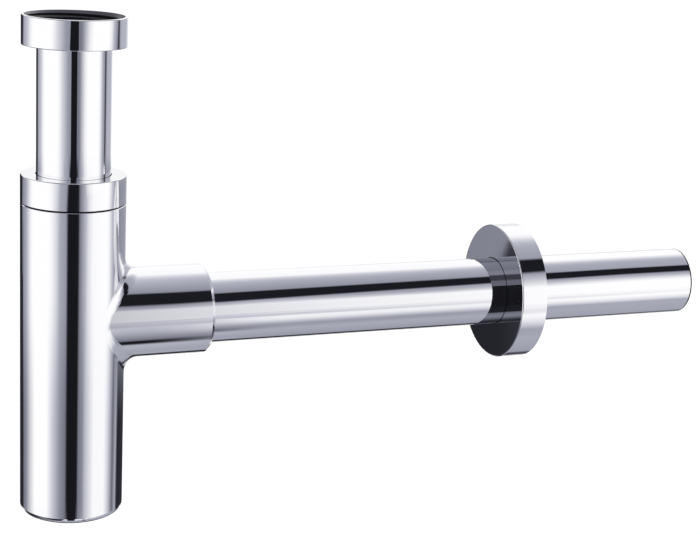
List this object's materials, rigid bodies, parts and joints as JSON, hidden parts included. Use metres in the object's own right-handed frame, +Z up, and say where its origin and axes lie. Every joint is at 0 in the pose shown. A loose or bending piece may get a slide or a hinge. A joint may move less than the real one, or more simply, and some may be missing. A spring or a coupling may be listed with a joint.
{
  "type": "bottle trap",
  "caption": "Chromed cylindrical bottle trap for a basin: union nut on a vertical tube, round body with a side socket, long outlet pipe and wall flange.",
  "frame": {"origin": "centre of the seat in the union nut, where the end of the basin waste meets the washer", "axes": "+Z up along the inlet tube's axis, +X along the outlet pipe towards the wall"},
  "size_m": [0.3327, 0.0644, 0.2208],
  "materials": {
    "chromed_brass": "mirror-polished chrome plate over brass",
    "nitrile_rubber": "matt moulded black rubber",
    "nylon": "natural white moulded nylon"
  },
  "bodies": {
    "union_nut": {"inlet_nut": "chromed_brass"},
    "inlet_ring": {"inlet_slip_ring": "nylon"},
    "inlet_pipe": {"inlet_tube": "chromed_brass", "inlet_washer": "nitrile_rubber"},
    "wedge_seal": {"collar_seal": "nitrile_rubber"},
    "bottle": {"trap_body": "chromed_brass"},
    "collar_ring": {"collar_slip_ring": "nylon"},
    "collar": {"collar_nut": "chromed_brass"},
    "outlet_rings": {"outlet_seal_outer": "nitrile_rubber", "outlet_seal_inner": "nitrile_rubber"},
    "wall_pipe": {"outlet_pipe": "chromed_brass"},
    "grip_ring": {"flange_grip_ring": "nitrile_rubber"},
    "flange": {"wall_flange": "chromed_brass"},
    "plug_ring": {"cleaning_plug_seal": "nitrile_rubber"},
    "plug": {"cleaning_plug": "chromed_brass"}
  },
  "joints": [
    {"name": "union_nut_turn", "type": "hinge", "parent": "union_nut", "child": "inlet_ring", "pos_m": [0, 0, -0.0035], "axis": [0, 0, 1], "continuous": true},
    {"name": "union_nut_slide", "type": "slide", "parent": "inlet_ring", "child": "inlet_pipe", "axis": [0, 0, 1], "range_m": [0, 0.027]},
    {"name": "height_adjustment", "type": "slide", "parent": "inlet_pipe", "child": "wedge_seal", "axis": [0, 0, 1], "range_m": [-0.05, 0.015]},
    {"name": "body_swivel", "type": "hinge", "parent": "wedge_seal", "child": "bottle", "pos_m": [0, 0, -0.0676], "axis": [0, 0, 1], "continuous": true},
    {"name": "collar_nut_rise", "type": "slide", "parent": "bottle", "child": "collar_ring", "axis": [0, 0, 1], "range_m": [0, 0.009]},
    {"name": "collar_nut_turn", "type": "hinge", "parent": "collar_ring", "child": "collar", "pos_m": [0, 0, -0.067], "axis": [0, 0, 1], "range_deg": [0, 2160]},
    {"name": "pipe_swivel", "type": "hinge", "parent": "bottle", "child": "outlet_rings", "pos_m": [0.0488, 0, -0.1242], "axis": [1, 0, 0], "continuous": true},
    {"name": "pipe_slide", "type": "slide", "parent": "outlet_rings", "child": "wall_pipe", "axis": [1, 0, 0], "range_m": [-0.0027, 0.014]},
    {"name": "flange_slide", "type": "slide", "parent": "wall_pipe", "child": "grip_ring", "axis": [1, 0, 0], "range_m": [-0.143, 0.09]},
    {"name": "flange_turn", "type": "hinge", "parent": "grip_ring", "child": "flange", "pos_m": [0.21, 0, -0.1242], "axis": [1, 0, 0], "continuous": true},
    {"name": "plug_drop", "type": "slide", "parent": "bottle", "child": "plug_ring", "axis": [0, 0, -1], "range_m": [0, 0.0045]},
    {"name": "plug_turn", "type": "hinge", "parent": "plug_ring", "child": "plug", "pos_m": [0, 0, -0.2113], "axis": [0, 0, -1], "range_deg": [0, 1080]}
  ],
  "couplings": [
    {"joint": "collar_nut_rise", "follows": "collar_nut_turn", "m_per_rad": 0.00023873},
    {"joint": "plug_drop", "follows": "plug_turn", "m_per_rad": 0.00023873}
  ]
}
